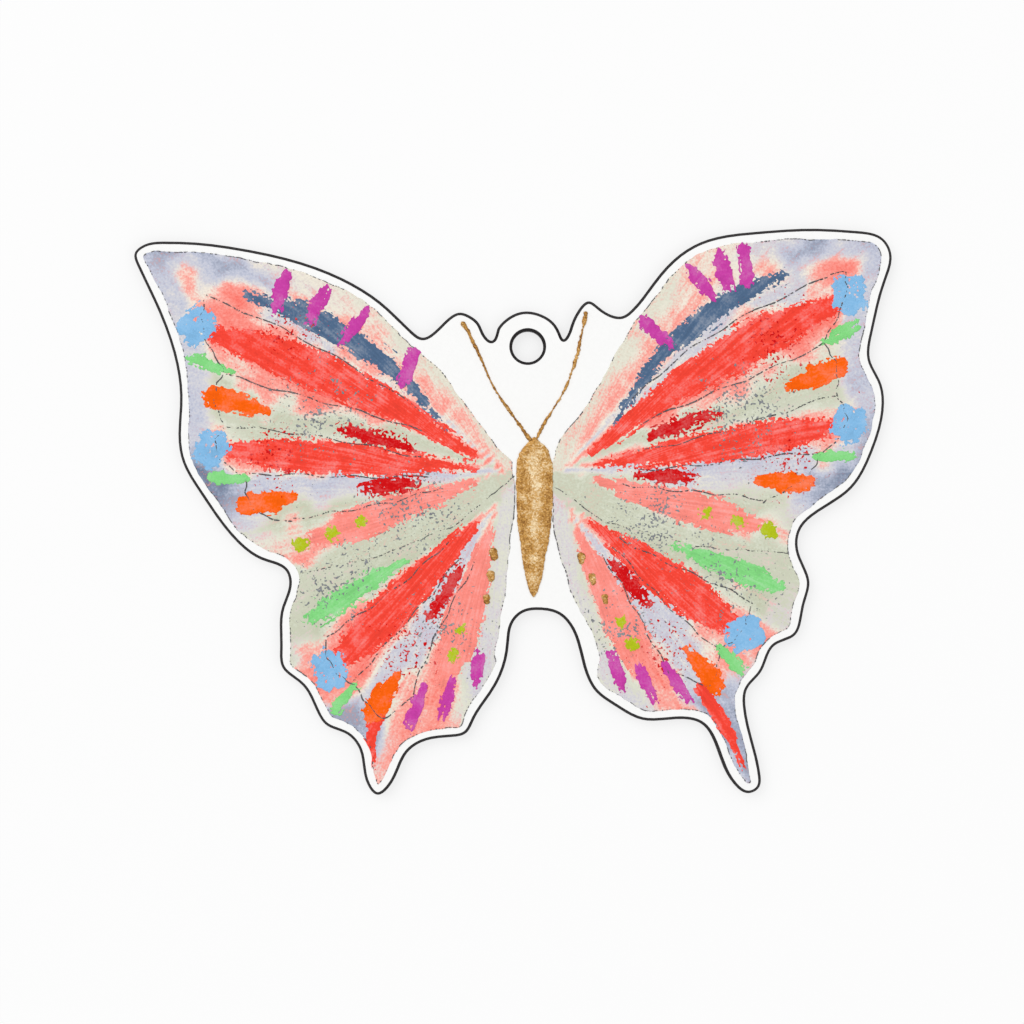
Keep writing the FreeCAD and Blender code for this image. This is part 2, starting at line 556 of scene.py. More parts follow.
@dataclass
class Film:
    """A thin closed layer of paint that lies on the board, with the outline that its depth field gives.

    Attributes:
        name: the piece's name.
        box: its lowest and highest corner, in millimetres.
        depth: how far each place lies inside the paint.
        height: its thickness.
        pitch: step of the grid that it is cut from.
        rounding: how far from its edge the top becomes level.
        block: cells along one side of the larger faces that make up its level part.
        relief: height of the grain on its top.
        fields: what its mesh tells the material about each point, by name.
        sunk: how far its underside lies in the board.
    """

    name: str
    box: tuple[Point, Point]
    depth: Field
    height: float
    pitch: float = 0.13
    rounding: float = 0.12
    block: int = 5
    relief: Field | None = None
    fields: dict[str, Field] = field(default_factory=dict)
    sunk: float = 0.01

    def grid(self) -> tuple[np.ndarray, np.ndarray, np.ndarray]:
        """Lay the grid.

        Returns:
            Its X, Y and depth, dry at its rim.
        """
        (left, low), (right, high) = self.box
        columns = int(math.ceil((right - left) / self.pitch)) + 3
        rows = int(math.ceil((high - low) / self.pitch)) + 3
        x, y = np.meshgrid(
            left + (np.arange(columns) - 1) * self.pitch, low + (np.arange(rows) - 1) * self.pitch
        )
        depth = np.array(self.depth(x, y), float)
        rim = np.ones(depth.shape, bool)
        rim[1:-1, 1:-1] = False
        depth[rim] = np.minimum(depth[rim], -1e-3)
        return x, y, np.where(np.abs(depth) < 2e-3, -2e-3, depth)

    def solid_blocks(self, depth: np.ndarray) -> np.ndarray:
        """Tell which square blocks of cells lie wholly in the film's level part.

        Args:
            depth: depth of the grid.

        Returns:
            True or false for each block.
        """
        deep = depth > self.rounding
        cells = deep[:-1, :-1] & deep[:-1, 1:] & deep[1:, :-1] & deep[1:, 1:]
        rows, columns = cells.shape[0] // self.block, cells.shape[1] // self.block
        cut = cells[:rows * self.block, :columns * self.block]
        return cut.reshape(rows, self.block, columns, self.block).all(axis=(1, 3))

    def block_loop(self, solid: np.ndarray, row: int, column: int, number: np.ndarray) -> list[int]:
        """Give a solid block's outline, with the points that its finer neighbours share with it.

        Args:
            solid: which blocks are solid.
            row: the block's row.
            column: the block's column.
            number: number of each grid point.

        Returns:
            The outline's point numbers.
        """
        step = self.block
        r, c = row * step, column * step
        sides = (
            (row - 1, column, [(r, c + k) for k in range(step)]),
            (row, column + 1, [(r + k, c + step) for k in range(step)]),
            (row + 1, column, [(r + step, c + step - k) for k in range(step)]),
            (row, column - 1, [(r + step - k, c) for k in range(step)]),
        )
        loop: list[int] = []
        for beside_row, beside_column, points in sides:
            on_map = 0 <= beside_row < solid.shape[0] and 0 <= beside_column < solid.shape[1]
            whole = on_map and solid[beside_row, beside_column]
            loop += [int(number[place]) for place in (points[:1] if whole else points)]
        return loop

    def faces(self, x: np.ndarray, y: np.ndarray, depth: np.ndarray) -> tuple[np.ndarray, list, list]:
        """Cut the grid along the film's edge.

        Args:
            x: X of the grid.
            y: Y of the grid.
            depth: depth of the grid.

        Returns:
            Points as rows of X, Y and depth, faces as loops of point numbers, and edge runs as pairs.
        """
        wet = depth > 0
        number = np.full(depth.shape, -1)
        number[wet] = np.arange(wet.sum())
        points = [np.column_stack([x[wet], y[wet], depth[wet]])]
        count = int(wet.sum())
        crossings = []
        for a, b in ((np.s_[:, :-1], np.s_[:, 1:]), (np.s_[:-1], np.s_[1:])):
            mixed = wet[a] != wet[b]
            ids = np.full(mixed.shape, -1)
            ids[mixed] = count + np.arange(mixed.sum())
            share = depth[a][mixed] / (depth[a][mixed] - depth[b][mixed])
            crossed_x = x[a][mixed] + share * (x[b][mixed] - x[a][mixed])
            crossed_y = y[a][mixed] + share * (y[b][mixed] - y[a][mixed])
            points.append(np.column_stack([crossed_x, crossed_y, np.zeros(len(share))]))
            count += int(mixed.sum())
            crossings.append(ids)
        level, upright = crossings
        full = wet[:-1, :-1] & wet[:-1, 1:] & wet[1:, 1:] & wet[1:, :-1]
        touched = wet[:-1, :-1] | wet[:-1, 1:] | wet[1:, 1:] | wet[1:, :-1]
        solid = self.solid_blocks(depth)
        loops = [self.block_loop(solid, row, column, number) for row, column in zip(*np.nonzero(solid))]
        fine = full.copy()
        height, width = solid.shape[0] * self.block, solid.shape[1] * self.block
        fine[:height, :width] &= ~np.kron(solid, np.ones((self.block, self.block), bool))
        rows, columns = np.nonzero(fine)
        corners = ((rows, columns), (rows, columns + 1), (rows + 1, columns + 1), (rows + 1, columns))
        loops += np.column_stack([number[corner] for corner in corners]).tolist()
        # A cell that the edge crosses is one face, of its wet corners and the points where the edge cuts it.
        runs: list[tuple[int, int]] = []
        for r, c in zip(*np.nonzero(touched & ~full)):
            ring = (
                (number[r, c], level[r, c]), (number[r, c + 1], upright[r, c + 1]),
                (number[r + 1, c + 1], level[r + 1, c]), (number[r + 1, c], upright[r, c]),
            )
            loop = [(int(value), kind) for pair in ring for kind, value in enumerate(pair) if value >= 0]
            loops.append([value for value, _ in loop])
            runs += [(a, b) for (a, on_a), (b, on_b) in zip(loop, loop[1:] + loop[:1]) if on_a and on_b]
        return np.vstack(points), loops, runs

    def build(self) -> bpy.types.Object:
        """Make the film's closed mesh, with its fields as attributes.

        Returns:
            The new object.
        """
        points, loops, runs = self.faces(*self.grid())
        used = np.unique(np.concatenate([np.array(loop) for loop in loops]))
        renumber = np.full(len(points), -1)
        renumber[used] = np.arange(len(used))
        points = points[used]
        loops = [[int(renumber[value]) for value in loop] for loop in loops]
        runs = [(int(renumber[a]), int(renumber[b])) for a, b in runs]
        x, y, depth = points.T
        rise = np.clip(depth / self.rounding, 0, 1)
        top = BOARD_TOP + self.height * (0.4 + 0.6 * rise * (2 - rise))
        if self.relief is not None:
            top = top + self.relief(x, y) * rise
        base = np.full(len(points), BOARD_TOP - self.sunk)
        vertices = np.vstack([np.column_stack([x, y, top]), np.column_stack([x, y, base])]) * MM
        count = len(points)
        faces = loops + [[count + value for value in reversed(loop)] for loop in loops]
        faces += [[b, a, count + a, count + b] for a, b in runs]
        mesh = bpy.data.meshes.new(self.name)
        mesh.from_pydata(vertices.tolist(), [], faces)
        mesh.polygons.foreach_set("use_smooth", np.arange(len(faces)) < len(loops))
        for name, value_at in self.fields.items():
            values = np.asarray(value_at(x, y), np.float32)
            mesh.attributes.new(name, "FLOAT", "POINT").data.foreach_set("value", np.tile(values, 2))
        mesh.update()
        piece = bpy.data.objects.new(self.name, mesh)
        bpy.context.scene.collection.objects.link(piece)
        return piece


def mount(piece: bpy.types.Object, material: bpy.types.Material) -> None:
    """Give a piece its finish and let it ride on the tag.

    Args:
        piece: the piece.
        material: its finish.
    """
    piece.data.materials.append(material)
    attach(piece, BODY)
    triangles = sum(len(face.vertices) - 2 for face in piece.data.polygons)
    log.info("%s: %d triangles", piece.name, triangles)


def brush_streaks(tree: bpy.types.NodeTree, hair: float) -> bpy.types.NodeSocket:
    """Add the streaks that brush hairs leave, long the way the brush went and fine across it.

    Args:
        tree: the material's node tree.
        hair: how wide one streak is, in millimetres.

    Returns:
        The streaks' socket, from 0 to 1.
    """
    out = add_node(tree, ATTRIBUTE, attribute_name="out").outputs["Fac"]
    aside = add_node(tree, ATTRIBUTE, attribute_name="aside").outputs["Fac"]
    along = add_node(tree, MATH, {0: out, 1: 1 / (14 * hair)}, operation="MULTIPLY").outputs[0]
    across = add_node(tree, MATH, {0: aside, 1: 1 / hair}, operation="MULTIPLY").outputs[0]
    way = add_node(tree, "ShaderNodeCombineXYZ", {0: along, 1: across}).outputs[0]
    return add_node(tree, NOISE, {
        "Vector": way, "Scale": 1.0, "Detail": 3.0, "Distortion": 0.3,
    }).outputs["Fac"]


@dataclass(frozen=True)
class InkedBoard:
    """White coated solid board, die-cut, with its cut edge inked black by hand.

    Attributes:
        name: the material's name.
        line_top: height over the back up to which the ink covers the bevel, in millimetres.
        ink_wander: how far the ink's upper edge strays.
        wander_size: length of that straying.
        fibre: size of the coating's mottle.
        ply: width of the waves in the board's layers.
    """

    # The coated faces look smooth and very slightly mottled. The ink shows as a dark line round the tag.
    name: str = "coated_board_die_cut"
    line_top: float = 1.985
    ink_wander: float = 0.03
    wander_size: float = 0.8
    fibre: float = 0.45
    ply: float = 1.4

    def build(self) -> bpy.types.Material:
        """Make the material.

        Returns:
            The material.
        """
        material, tree, shader = start_material(self.name)
        place = add_node(tree, PLACE).outputs["Object"]
        height = add_node(tree, "ShaderNodeSeparateXYZ", {0: place}).outputs["Z"]
        wander = add_node(tree, NOISE, {
            "Vector": place, "Scale": per_mm(self.wander_size), "Detail": 3.0,
        }).outputs["Fac"]
        lift = add_node(tree, MATH, {
            0: wander, 1: self.ink_wander * MM, 2: height,
        }, operation="MULTIPLY_ADD").outputs[0]
        below = add_node(tree, MATH, {
            0: lift, 1: (self.line_top + self.ink_wander / 2) * MM,
        }, operation="LESS_THAN").outputs[0]
        above = add_node(tree, MATH, {0: height, 1: 0.02 * MM}, operation="GREATER_THAN").outputs[0]
        inked = add_node(tree, MATH, {0: below, 1: above}, operation="MULTIPLY").outputs[0]
        mottle = add_node(tree, NOISE, {
            "Vector": place, "Scale": per_mm(self.fibre), "Detail": 4.0,
        }).outputs["Fac"]
        white = linear(Ink.BOARD)
        card = set_stops(add_node(tree, RAMP, {"Fac": mottle}), [
            (0.3, shade(white, 0.98)), (0.7, white),
        ])
        colour = add_node(tree, MIX, {
            0: inked, 6: card, 7: linear(Ink.EDGE_INK),
        }, data_type="RGBA").outputs[2]
        plies = add_node(tree, "ShaderNodeMapping", {"Vector": place, "Scale": (1.0, 1.0, 9.0)}).outputs[0]
        layers = add_node(tree, NOISE, {
            "Vector": plies, "Scale": per_mm(self.ply), "Detail": 5.0,
        }).outputs["Fac"]
        rough = add_node(tree, MIX, {0: inked, 2: mottle, 3: layers}, data_type="FLOAT").outputs[0]
        bump = add_node(tree, BUMP, {"Height": rough, "Strength": 0.25, "Distance": 0.02 * MM})
        gloss = add_node(tree, MAP_RANGE, {"Value": mottle, 3: 0.5, 4: 0.62}).outputs[0]
        feed(shader, {
            "Base Color": colour, "Normal": bump.outputs[0], "Roughness": gloss, "Specular IOR Level": 0.3,
        })
        return material


@dataclass(frozen=True)
class Wash:
    """Transparent watercolour brushed wet on rough paper.

    Attributes:
        name: the material's name.
        grain: size of the settled pigment's grains, in millimetres.
        bloom: size of the soft blooms.
        hair: width of one brush streak.
        stirred: how much grain, bloom and streaks shift a pigment's load.
        dry: the shifted load at which a pigment is at its palest.
        settled: how much darker the grains' hollows get, at most.
    """

    # Pigment settles in the paper's hollows as fine dark grains, and the colours run into each other.
    name: str = "watercolour_wash_brushed"
    grain: float = 0.3
    bloom: float = 3.2
    hair: float = 0.5
    stirred: float = 0.55
    dry: float = 0.76
    settled: float = 0.34

    def build(self) -> bpy.types.Material:
        """Make the material.

        Returns:
            The material.
        """
        material, tree, shader = start_material(self.name)
        place = add_node(tree, PLACE).outputs["Object"]
        grain = add_node(tree, NOISE, {
            "Vector": place, "Scale": per_mm(self.grain), "Detail": 3.0, "Roughness": 0.65,
        }).outputs["Fac"]
        bloom = add_node(tree, NOISE, {
            "Vector": place, "Scale": per_mm(self.bloom), "Detail": 5.0, "Roughness": 0.6, "Distortion": 0.6,
        }).outputs["Fac"]
        mixed = add_node(tree, MATH, {
            0: brush_streaks(tree, self.hair), 1: 0.75, 2: bloom,
        }, operation="MULTIPLY_ADD").outputs[0]
        stir = add_node(tree, MATH, {0: grain, 1: 1.0, 2: mixed}, operation="MULTIPLY_ADD").outputs[0]
        colour: bpy.types.NodeSocket | None = None
        for pigment, (pale, middle, deep) in PIGMENTS.items():
            load = add_node(tree, ATTRIBUTE, attribute_name=pigment).outputs["Fac"]
            shifted = add_node(tree, MATH, {
                0: stir, 1: self.stirred, 2: load,
            }, operation="MULTIPLY_ADD").outputs[0]
            amount = add_node(tree, MAP_RANGE, {
                "Value": shifted, 1: self.dry, 2: self.dry + 1,
            }).outputs[0]
            tone = set_stops(add_node(tree, RAMP, {"Fac": amount}), [
                (0.0, linear(pale)), (0.5, linear(middle)), (1.0, linear(deep)),
            ])
            if colour is None:
                colour = tone
                continue
            cover = add_node(tree, MAP_RANGE, {
                "Value": amount, 1: 0.02, 2: 0.34,
            }, interpolation_type="SMOOTHSTEP").outputs[0]
            colour = add_node(tree, MIX, {0: cover, 6: colour, 7: tone}, data_type="RGBA").outputs[2]
        settle = add_node(tree, MAP_RANGE, {
            "Value": grain, 1: 0.45, 2: 0.75, 3: 0.0, 4: self.settled,
        }).outputs[0]
        darker = add_node(tree, "ShaderNodeHueSaturation", {
            "Color": colour, "Saturation": 1.15, "Value": 0.8,
        }).outputs[0]
        colour = add_node(tree, MIX, {0: settle, 6: colour, 7: darker}, data_type="RGBA").outputs[2]
        bump = add_node(tree, BUMP, {"Height": grain, "Strength": 0.35, "Distance": 0.03 * MM})
        feed(shader, {
            "Base Color": colour, "Normal": bump.outputs[0], "Roughness": 0.82, "Specular IOR Level": 0.15,
        })
        return material


class Medium(Enum):
    """What a layer of marks is made with: the last word of its pieces' names, and the paint's kind."""

    STROKES = ("strokes", "body_colour_brushed")
    SPATTER = ("spatter", "body_colour_flicked")
    CHALK = ("chalk", "soft_pastel_rubbed")


@dataclass(frozen=True)
class Paint:
    """Chalky body colour or soft pastel dragged over rough paper.

    Attributes:
        ink: the colour.
        medium: what the marks are made with.
        streaked: how strongly the brush's hairs show.
        pale: how pale the streaks are, as a share of white.
        grain: size of the paper's tooth, in millimetres.
        cloud: size of the unevenness in the paint.
        hair: width of one brush streak.
    """

    # It looks matt and nearly opaque, with paler streaks from the hairs and fine pale grains from the paper.
    ink: Ink
    medium: Medium
    streaked: float = 0.9
    pale: float = 0.2
    grain: float = 0.3
    cloud: float = 2.4
    hair: float = 0.45

    def piece_name(self) -> str:
        """Name the piece that holds every mark of this paint."""
        return f"{self.ink.name.lower()}_{self.medium.value[0]}"

    def build(self) -> bpy.types.Material:
        """Make the material.

        Returns:
            The material.
        """
        material, tree, shader = start_material(f"{self.ink.name.lower()}_{self.medium.value[1]}")
        place = add_node(tree, PLACE).outputs["Object"]
        grain = add_node(tree, NOISE, {
            "Vector": place, "Scale": per_mm(self.grain), "Detail": 2.0, "Roughness": 0.6,
        }).outputs["Fac"]
        cloud = add_node(tree, NOISE, {
            "Vector": place, "Scale": per_mm(self.cloud), "Detail": 4.0,
        }).outputs["Fac"]
        streak = brush_streaks(tree, self.hair)
        stir = add_node(tree, MATH, {0: grain, 1: 0.5, 2: cloud}, operation="MULTIPLY_ADD").outputs[0]
        drawn = add_node(tree, MATH, {
            0: streak, 1: self.streaked, 2: stir,
        }, operation="MULTIPLY_ADD").outputs[0]
        middle = 0.75 + self.streaked / 2
        blend = add_node(tree, MAP_RANGE, {
            "Value": drawn, 1: middle - 0.35, 2: middle + 0.35,
        }).outputs[0]
        base = linear(self.ink)
        paler = tuple(c + self.pale * (1 - c) for c in base)
        colour = set_stops(add_node(tree, RAMP, {"Fac": blend}), [
            (0.05, shade(base, 0.84)), (0.45, base), (1.0, paler),
        ])
        bump = add_node(tree, BUMP, {"Height": drawn, "Strength": 0.5, "Distance": 0.04 * MM})
        feed(shader, {
            "Base Color": colour, "Normal": bump.outputs[0], "Roughness": 0.9, "Specular IOR Level": 0.12,
        })
        return material


@dataclass(frozen=True)
class Graphite:
    """Soft pencil rubbed on the paper's high spots.

    Attributes:
        name: the material's name.
        grain: size of the paper's tooth, in millimetres.
    """

    # It looks dark grey with a faint shine, and paler where the paper's tooth took less.
    name: str = "graphite_pencil_drawn"
    grain: float = 0.28

    def build(self) -> bpy.types.Material:
        """Make the material.

        Returns:
            The material.
        """
        material, tree, shader = start_material(self.name)
        place = add_node(tree, PLACE).outputs["Object"]
        grain = add_node(tree, NOISE, {
            "Vector": place, "Scale": per_mm(self.grain), "Detail": 2.0,
        }).outputs["Fac"]
        base = linear(Ink.GRAPHITE)
        colour = set_stops(add_node(tree, RAMP, {"Fac": grain}), [
            (0.35, base), (0.7, shade(base, 3.2)),
        ])
        feed(shader, {"Base Color": colour, "Roughness": 0.5})
        return material


@dataclass(frozen=True)
class Glitter:
    """Fine metal-coated polyester glitter set in clear glue.

    Attributes:
        name: the material's name.
        flake: size of a flake, in millimetres. Real flakes are about 0.1 mm and are drawn coarser to show.
        patch: size of the patches in which more flakes are painted pale, as painted glints.
    """

    # Each flake lies at its own tilt in the bump. Its colour is painted per flake: some pale as painted
    # glints, most gold, some dark brown as painted shade.
    name: str = "polyester_glitter_glued"
    flake: float = 0.17
    patch: float = 1.6

    def build(self) -> bpy.types.Material:
        """Make the material.

        Returns:
            The material.
        """
        material, tree, shader = start_material(self.name)
        place = add_node(tree, PLACE).outputs["Object"]
        flakes = add_node(tree, "ShaderNodeTexVoronoi", {"Vector": place, "Scale": per_mm(self.flake)})
        pick = add_node(tree, "ShaderNodeSeparateColor", {0: flakes.outputs["Color"]}).outputs[0]
        patch = add_node(tree, NOISE, {
            "Vector": place, "Scale": per_mm(self.patch), "Detail": 3.0,
        }).outputs["Fac"]
        # The body's painted highlight along its ridge, or a flat darker or paler tone for the feelers and
        # beads.
        highlight_and_tone = add_node(tree, ATTRIBUTE, attribute_name="highlight_and_tone").outputs["Fac"]
        spread = add_node(tree, MATH, {0: pick, 1: 0.4, 2: patch}, operation="MULTIPLY_ADD").outputs[0]
        lit = add_node(tree, MATH, {0: highlight_and_tone, 1: 0.3, 2: spread}, operation="MULTIPLY_ADD").outputs[0]
        shown = add_node(tree, MAP_RANGE, {"Value": lit, 1: 0.4, 2: 1.15}).outputs[0]
        # Painted glints and painted shade: flake, patch and ridge highlight make the gold paler or darker in
        # the colour itself.
        colour = set_stops(add_node(tree, RAMP, {"Fac": shown}), [
            (0.05, linear(Ink.GOLD_DARK)), (0.5, linear(Ink.GOLD)), (1.0, linear(Ink.GOLD_PALE)),
        ])
        tilt = add_node(tree, BUMP, {
            "Height": flakes.outputs["Distance"], "Strength": 0.6, "Distance": 0.06 * MM,
        })
        feed(shader, {"Base Color": colour, "Normal": tilt.outputs[0], "Metallic": 0.6, "Roughness": 0.42})
        return material


@dataclass(frozen=True)
class Cell:
    """A cell between two veins, with the brush stroke that fills it, where it has one.

    Attributes:
        angle: direction of the cell's middle from the wing's root, in degrees.
        ink: the stroke's colour, or none for a bare cell.
        half: half the stroke's width, in millimetres.
        bow: how far the stroke bends aside.
        start: how far from the root it starts.
        inset: how far inside the cut edge it ends.
        dry: how dry the brush is, from 0 to 1.
    """

    angle: float
    ink: Ink | None = None
    half: float = 1.9
    bow: float = 0.0
    start: float = 4.5
    inset: float = 6.0
    dry: float = 0.5


class BarLay(Enum):
    """How the bars near a wing's margin lie."""

    ALONG_RAY = "along the ray from the root"
    SQUARE_TO_EDGE = "square to the cut edge"


@dataclass(frozen=True)
class Wing:
    """One wing: its wash, the strokes in its cells, and the marks round its margin.

    Attributes:
        name: the wing's name, which starts its wash's name.
        seed: number that picks the raggedness of its touches.
        root: where it grows out of the body.
        border: corners round it that part it from the other wings and the body.
        cells: its cells, in order round the root.
        washes: angle, then the rose, slate and sage loads there.
        bars: directions of its bars, in degrees.
        bar_lay: how the bars lie.
        die: the tag's cut edge.
        height: the wash's thickness, in millimetres.
        margin: the white margin left inside the cut edge.
        edge_wander: how far the wash's edge strays.
        band: width of the darker band round the margin.
        band_loads: what that band adds to the rose, slate and sage loads.
        dot_shares: places of the dots in a salmon cell, as shares of its length.
        vein_inset: how far inside the cut edge the veins end.
        pencil: half the width of a pencil line.
    """

    name: str
    seed: int
    root: Point
    border: tuple[Point, ...]
    cells: tuple[Cell, ...]
    washes: tuple[tuple[float, float, float, float], ...]
    bars: tuple[float, ...]
    bar_lay: BarLay
    die: DieLine
    height: float = 0.04
    margin: float = 1.3
    edge_wander: float = 0.2
    band: float = 5.2
    band_loads: tuple[float, float, float] = (-0.5, 0.42, 0.0)
    dot_shares: tuple[float, ...] = (0.7, 0.85, 1.0)
    vein_inset: float = 6.2
    pencil: float = 0.09

    def edge_depth(self, x: np.ndarray, y: np.ndarray) -> np.ndarray:
        """Give how far each point lies inside both the wing's border and the tag's white margin.

        Args:
            x: X of the points, in millimetres.
            y: Y of the points.

        Returns:
            The depth, negative outside.
        """
        corners = np.array(self.border)
        inner = segments_depth(corners, np.roll(corners, -1, axis=0), x, y)
        return np.minimum(inner, self.die.at(x, y) - self.margin) + self.edge_wander * TREMBLE.at(x, y)

    def angle_at(self, x: np.ndarray, y: np.ndarray) -> np.ndarray:
        """Give the direction of each point from the wing's root.

        Args:
            x: X of the points, in millimetres.
            y: Y of the points.

        Returns:
            Angles in degrees, near the wing's own angles.
        """
        middle = sum(cell.angle for cell in self.cells) / len(self.cells)
        degrees = np.degrees(np.arctan2(y - self.root[1], x - self.root[0]))
        return (degrees - middle + 180) % 360 - 180 + middle

    def load(self, column: int, x: np.ndarray, y: np.ndarray) -> np.ndarray:
        """Give one pigment's load, with the fingers that wet paint runs into.

        Args:
            column: the pigment's column in the wing's washes.
            x: X of the points, in millimetres.
            y: Y of the points.

        Returns:
            Loads from 0 to 1.
        """
        stops = sorted(self.washes)
        angle = self.angle_at(x, y) + 6 * WATER.at(x, y)
        load = np.interp(angle, [stop[0] for stop in stops], [stop[column] for stop in stops])
        span = (stops[-1][0] - stops[0][0]) / 2
        middle = (stops[0][0] + stops[-1][0]) / 2
        outer = np.clip(1.6 - 1.6 * np.abs(self.angle_at(x, y) - middle) / span, 0, 1)
        near = outer * np.clip((self.band - self.die.at(x, y) + 0.9 * TREMBLE.at(x, y)) / 2.2, 0, 1)
        return np.clip(load + self.band_loads[column - 1] * near, 0, 1)

    def build_wash(self) -> bpy.types.Object:
        """Build the wing's wash.

        Returns:
            The new piece.
        """
        corners = np.array(self.border)
        low, high = self.die.box()
        low = np.maximum(corners.min(axis=0), low)
        high = np.minimum(corners.max(axis=0), high)
        columns = {"rose": 1, "slate": 2, "sage": 3}
        loads = {name: partial(self.load, column) for name, column in columns.items()}
        return Film(
            f"{self.name}_wash", (tuple(low), tuple(high)), self.edge_depth, self.height,
            fields=loads | BRUSH_WAY,
        ).build()

    def ray(
        self, angle: float, inset: float, shares: Sequence[float], start: float = 0.0, bow: float = 0.0,
        wobble: float = 0.0,
    ) -> tuple[Point, ...]:
        """Give places along a line from the root to the margin.

        Args:
            angle: the line's direction, in degrees.
            inset: how far inside the cut edge it ends, in millimetres.
            shares: the places, as shares of the line's length.
            start: how far from the root the line starts.
            bow: how far the line bends aside at its middle.
            wobble: how far the hand strays.

        Returns:
            The places' X and Y.
        """
        end = self.die.place(self.root, angle, inset)
        length = math.dist(self.root, end)
        ahead, up = math.cos(math.radians(angle)), math.sin(math.radians(angle))
        places = []
        for share in shares:
            along = start + (length - start) * share
            aside = bow * math.sin(math.pi * share)
            aside += wobble * (math.sin(5 * share + angle) + 0.4 * math.sin(31 * share + 2 * angle))
            x = self.root[0] + along * ahead - aside * up
            places.append((x, self.root[1] + along * up + aside * ahead))
        return tuple(places)

    def strokes(self) -> list[tuple[Ink, Touch]]:
        """Lay one long dry brush stroke in each cell that has one, from near the root to near the margin.

        Returns:
            Each stroke with its paint.
        """
        laid = []
        for number, cell in enumerate(self.cells):
            if cell.ink is not None:
                path = self.ray(cell.angle, cell.inset, (0.0, 0.35, 0.72, 1.0), cell.start, cell.bow)
                halves = (0.15 * cell.half, 0.7 * cell.half, cell.half, 0.5 * cell.half)
                laid.append((cell.ink, Touch(path, halves, 0.6, cell.dry, number + self.seed, 1.0, dust=0.7)))
        return laid

    def cell_marks(self, number: int, cell: Cell) -> list[tuple[Ink, Touch]]:
        """Lay the chalk marks in one cell: a drop and a dash, a rubbed patch, or a row of dots.

        Args:
            number: the cell's number in the wing.
            cell: the cell.

        Returns:
            Each mark with its paint.
        """
        seed = number + 1.7 * self.seed
        if cell.ink is None:
            drop = self.ray(cell.angle, 4.4, (0.82, 0.92, 1.0))
            dash = self.ray(cell.angle, 6.0, (0.34, 0.45, 0.58))
            return [
                (Ink.ORANGE, Touch(drop, (0.6, 1.5, 1.5), 0.5, 0.25, seed, 0.5)),
                (Ink.CRIMSON, Touch(dash, (0.4, 0.95, 0.6), 0.6, 0.45, seed, dust=1.5)),
            ]
        if cell.ink is Ink.CORAL:
            patch = zigzag(self.die.place(self.root, cell.angle, 4.2), cell.angle + 60)
            return [(Ink.SKY, Touch(patch, (0.65,) * len(patch), 0.55, 0.35, seed, dust=0.6))]
        if cell.ink is Ink.SALMON:
            dots = zip(self.ray(cell.angle, 4.0, self.dot_shares), (0.8, 0.95, 1.1))
            return [(Ink.OLIVE, Touch((place,), (half,), 0.5, 0.2, place[0])) for place, half in dots]
        return []

    def bar(self, number: int, angle: float) -> Touch:
        """Lay one bar near the margin.

        Args:
            number: the bar's number in the wing.
            angle: its direction from the root, in degrees.

        Returns:
            The bar.
        """
        if self.bar_lay is BarLay.ALONG_RAY:
            path = self.ray(angle, 2.6, (0.82, 0.9, 1.0))
            return Touch(path, (0.55, 0.9, 0.7), 0.4, 0.45, seed=number + 4)
        x, y = self.die.place(self.root, angle, 2.3)
        inward = self.die.inward(x, y)
        path = tuple((x + reach * inward[0], y + reach * inward[1]) for reach in (0.0, 2.2, 4.8))
        return Touch(path, (0.7, 0.9, 0.65), 0.4, 0.45, seed=number)

    def chalk_marks(self) -> list[tuple[Ink, Touch]]:
        """Lay the marks in the cells, a tick at every second vein's end, and the bars.

        Returns:
            Each mark with its paint.
        """
        marks = [mark for number, cell in enumerate(self.cells) for mark in self.cell_marks(number, cell)]
        for number, (one, other) in enumerate(zip(self.cells, self.cells[1:])):
            if number % 2 == 1:
                tick = self.ray((one.angle + other.angle) / 2, 2.4, (0.88, 0.95, 1.0))
                marks.append((Ink.MINT, Touch(tick, (0.4, 0.85, 0.75), 0.45, 0.3, number + 2.3 * self.seed)))
        return marks + [(Ink.MAGENTA, self.bar(number, angle)) for number, angle in enumerate(self.bars)]

    def pencil_line(self, path: tuple[Point, ...], seed: float) -> Touch:
        """Draw one pencil line along a path."""
        return Touch(path, (self.pencil,) * len(path), 0.04, seed=seed, hairy=0.0)

    def veins(self) -> list[Touch]:
        """Draw the pencil veins between the cells and the scallops that join their ends.

        Returns:
            The lines.
        """
        lines = []
        for number, (one, other) in enumerate(zip(self.cells, self.cells[1:])):
            angle = (one.angle + other.angle) / 2
            shares = np.linspace(0.3, 1.0, 13)
            path = self.ray(angle, self.vein_inset, shares, bow=(one.bow + other.bow) / 2, wobble=0.5)
            lines.append(self.pencil_line(path, number))
        wobbles = (0, 0.2, -0.1, 0.15, 0, -0.2, 0.1, -0.1, 0)
        for number, cell in enumerate(self.cells[1:-1], start=1):
            low = (self.cells[number - 1].angle + cell.angle) / 2
            high = (self.cells[number + 1].angle + cell.angle) / 2
            path = tuple(
                self.die.place(
                    self.root, low + (high - low) * share,
                    self.vein_inset - 1.5 * math.sin(math.pi * share) + wobble,
                )
                for share, wobble in zip(np.linspace(0.02, 0.98, len(wobbles)), wobbles)
            )
            lines.append(self.pencil_line(path, number + 0.5))
        return lines


def zigzag(
    centre: Point, angle: float, length: float = 3.6, passes: int = 4, gap: float = 0.95
) -> tuple[Point, ...]:
    """Give the path of a chalk rubbed to and fro.

    Args:
        centre: the patch's centre.
        angle: direction of the rubbing, in degrees.
        length: length of each pass, in millimetres.
        passes: how many passes.
        gap: distance between passes.

    Returns:
        The path's points.
    """
    ahead, up = math.cos(math.radians(angle)), math.sin(math.radians(angle))
    path = []
    for number in range(passes):
        aside = (number - (passes - 1) / 2) * gap
        reach = length / 2 * (1 - 0.25 * abs(2 * number / (passes - 1) - 1)) * (-1) ** number
        for end in (-reach, reach):
            path.append((centre[0] + end * ahead - aside * up, centre[1] + end * up + aside * ahead))
    return tuple(path)


